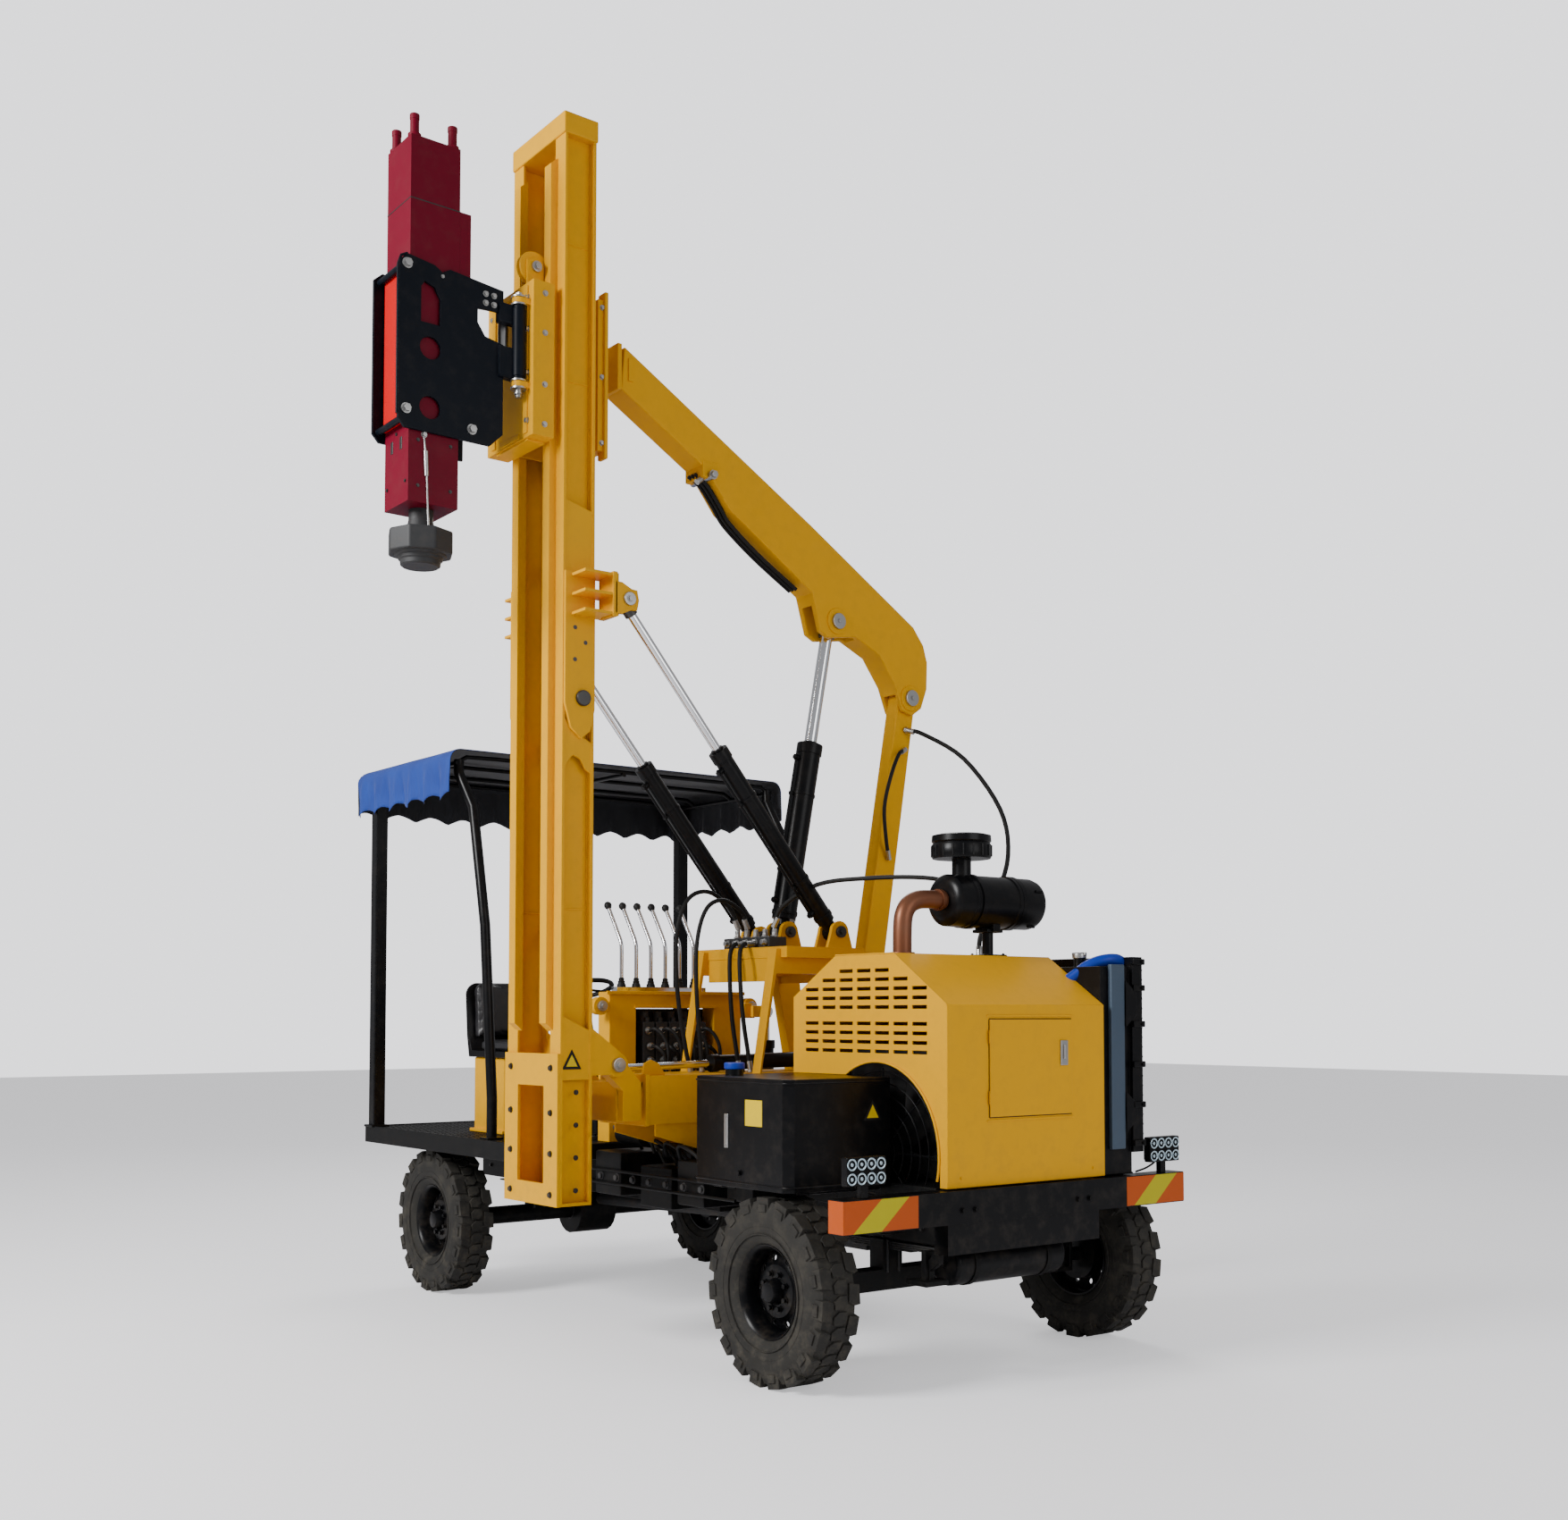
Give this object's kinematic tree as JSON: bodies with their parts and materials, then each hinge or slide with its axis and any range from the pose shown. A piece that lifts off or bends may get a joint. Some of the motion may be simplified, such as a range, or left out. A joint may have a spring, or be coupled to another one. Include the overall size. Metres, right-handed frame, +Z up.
{
  "type": "pile driver rig",
  "caption": "Wheeled pile driver rig with a side-mounted tilting mast, a hydraulic hammer on a lift carriage, a lifting boom, an engine hood and a canopied operator seat.",
  "frame": {"origin": "bottom centre of the whole machine's box, on the ground", "axes": "+X is the driving direction, +Z up, and the mast and hammer are on the -Y side"},
  "size_m": [4.822, 3.635, 6.21],
  "materials": {
    "yellow_paint": "satin yellow machine enamel",
    "black_paint": "satin black enamel",
    "crimson_paint": "satin crimson enamel",
    "navy_paint": "satin dark navy enamel",
    "dark_steel": "dark oiled steel",
    "chrome": "hard chrome",
    "cast_iron": "grey enamel",
    "tyre": "matt black rubber",
    "seat_cover": "black coated fabric",
    "canopy_cloth": "blue canvas",
    "lamp": "lamp housing",
    "black_plastic": "moulded black"
  },
  "bodies": {
    "chassis": {"platform": "black_paint", "frame_rail_left": "black_paint", "frame_rail_right": "black_paint", "front_bumper": "black_paint", "rear_deck": "black_paint", "front_axle": "black_paint", "rear_axle": "black_paint", "transmission": "black_paint", "air_tank": "black_paint", "engine_block": "cast_iron", "hood": "yellow_paint", "radiator": "black_paint", "air_cleaner": "black_paint", "oil_tank": "black_paint", "lamp_left": "lamp", "lamp_right": "lamp", "slide_beam": "yellow_paint", "cylinder_frame": "yellow_paint", "boom_column": "yellow_paint", "console": "yellow_paint", "valve_bank": "black_paint", "control_levers": "chrome", "steering_column": "black_paint", "seat_base": "yellow_paint", "seat": "seat_cover", "canopy_post_rear_left": "black_paint", "canopy_post_rear_right": "black_paint", "canopy_post_front_left": "black_paint", "canopy_post_front_right": "black_paint", "canopy_roof": "canopy_cloth"},
    "knuckle_right": {"knuckle_right": "black_paint"},
    "knuckle_left": {"knuckle_left": "black_paint"},
    "steering_wheel": {"steering_wheel": "black_plastic"},
    "hood_door": {"hood_door": "yellow_paint"},
    "mast": {"mast_beam_far": "yellow_paint", "mast_beam_near": "yellow_paint", "mast_cap": "yellow_paint", "mast_front_frame": "yellow_paint"},
    "carriage": {"carriage": "yellow_paint"},
    "sheave": {"sheave": "yellow_paint"},
    "cradle": {"cradle": "navy_paint", "hammer_body": "crimson_paint"},
    "anvil": {"anvil": "dark_steel"},
    "boom": {"boom": "yellow_paint"},
    "lift_barrel": {"lift_barrel": "black_paint"},
    "lift_rod": {"lift_rod": "chrome"},
    "tilt_far_barrel": {"tilt_far_barrel": "black_paint"},
    "tilt_far_rod": {"tilt_far_rod": "chrome"},
    "tilt_near_barrel": {"tilt_near_barrel": "black_paint"},
    "tilt_near_rod": {"tilt_near_rod": "chrome"},
    "wheel_front_right": {"tyre_front_right": "tyre", "rim_front_right": "black_paint"},
    "wheel_front_left": {"tyre_front_left": "tyre", "rim_front_left": "black_paint"},
    "wheel_rear_right": {"tyre_rear_right": "tyre", "rim_rear_right": "black_paint"},
    "wheel_rear_left": {"tyre_rear_left": "tyre", "rim_rear_left": "black_paint"}
  },
  "joints": [
    {"name": "steer_right", "type": "hinge", "parent": "chassis", "child": "knuckle_right", "pos_m": [1.839, -0.2325, 0.4275], "axis": [0, 0, 1], "range_deg": [-30, 30]},
    {"name": "steer_left", "type": "hinge", "parent": "chassis", "child": "knuckle_left", "pos_m": [1.839, 1.3675, 0.4275], "axis": [0, 0, 1], "range_deg": [-30, 30]},
    {"name": "wheel_spin_front_right", "type": "hinge", "parent": "knuckle_right", "child": "wheel_front_right", "pos_m": [1.839, -0.4425, 0.4275], "axis": [0, 1, 0], "continuous": true},
    {"name": "wheel_spin_front_left", "type": "hinge", "parent": "knuckle_left", "child": "wheel_front_left", "pos_m": [1.839, 1.5775, 0.4275], "axis": [0, 1, 0], "continuous": true},
    {"name": "wheel_spin_rear_right", "type": "hinge", "parent": "chassis", "child": "wheel_rear_right", "pos_m": [-1.541, -0.4425, 0.4275], "axis": [0, 1, 0], "continuous": true},
    {"name": "wheel_spin_rear_left", "type": "hinge", "parent": "chassis", "child": "wheel_rear_left", "pos_m": [-1.541, 1.5775, 0.4275], "axis": [0, 1, 0], "continuous": true},
    {"name": "steering_wheel_turn", "type": "hinge", "parent": "chassis", "child": "steering_wheel", "pos_m": [-0.581, -0.0525, 1.8], "axis": [-0.2873, 0, 0.9578], "range_deg": [-361, 361]},
    {"name": "mast_tilt", "type": "hinge", "parent": "chassis", "child": "mast", "pos_m": [0.504, -0.6525, 1.43], "axis": [1, 0, 0], "range_deg": [-5, 5]},
    {"name": "tilt_barrel_swing_far", "type": "hinge", "parent": "chassis", "child": "tilt_far_barrel", "pos_m": [0.149, 0.6675, 2.13], "axis": [1, 0, 0], "range_deg": [-4.5, 4.5]},
    {"name": "tilt_rod_slide_far", "type": "slide", "parent": "tilt_far_barrel", "child": "tilt_far_rod", "axis": [0, -0.643, 0.7659], "range_m": [-0.16, 0.16]},
    {"name": "tilt_barrel_swing_near", "type": "hinge", "parent": "chassis", "child": "tilt_near_barrel", "pos_m": [0.859, 0.6675, 2.13], "axis": [1, 0, 0], "range_deg": [-4.5, 4.5]},
    {"name": "tilt_rod_slide_near", "type": "slide", "parent": "tilt_near_barrel", "child": "tilt_near_rod", "axis": [0, -0.643, 0.7659], "range_m": [-0.16, 0.16]},
    {"name": "boom_lift", "type": "hinge", "parent": "chassis", "child": "boom", "pos_m": [0.504, 1.4875, 3.55], "axis": [-1, 0, 0], "range_deg": [-45, 10]},
    {"name": "lift_barrel_swing", "type": "hinge", "parent": "chassis", "child": "lift_barrel", "pos_m": [0.504, 0.5875, 2.14], "axis": [-1, 0, 0], "range_deg": [-3, 3]},
    {"name": "lift_rod_slide", "type": "slide", "parent": "lift_barrel", "child": "lift_rod", "axis": [0, 0.1866, 0.9824], "range_m": [-0.53, 0.13]},
    {"name": "hammer_lift", "type": "slide", "parent": "mast", "child": "carriage", "axis": [0, 0, 1], "range_m": [-2.75, 0.5]},
    {"name": "cradle_swing", "type": "hinge", "parent": "carriage", "child": "cradle", "pos_m": [0.674, -1.1875, 5], "axis": [0, 0, 1], "range_deg": [-20, 20]},
    {"name": "anvil_slide", "type": "slide", "parent": "cradle", "child": "anvil", "axis": [0, 0, 1], "range_m": [0, 0.1]},
    {"name": "sheave_turn", "type": "hinge", "parent": "carriage", "child": "sheave", "pos_m": [0.604, -1.0725, 5.43], "axis": [1, 0, 0], "continuous": true},
    {"name": "hood_door_hinge", "type": "hinge", "parent": "chassis", "child": "hood_door", "pos_m": [2.3925, 0.3455, 1.435], "axis": [0, 0, -1], "range_deg": [0, 100]}
  ],
  "couplings": [
    {"joint": "steer_left", "follows": "steer_right", "ratio": 1},
    {"joint": "steering_wheel_turn", "follows": "steer_right", "ratio": 12},
    {"joint": "tilt_barrel_swing_far", "follows": "mast_tilt", "ratio": 0.85361},
    {"joint": "tilt_rod_slide_far", "follows": "mast_tilt", "m_per_rad": 1.4599},
    {"joint": "tilt_barrel_swing_near", "follows": "mast_tilt", "ratio": 0.85361},
    {"joint": "tilt_rod_slide_near", "follows": "mast_tilt", "m_per_rad": 1.4599},
    {"joint": "lift_barrel_swing", "follows": "boom_lift", "ratio": 0.05},
    {"joint": "lift_rod_slide", "follows": "boom_lift", "m_per_rad": 0.645}
  ]
}
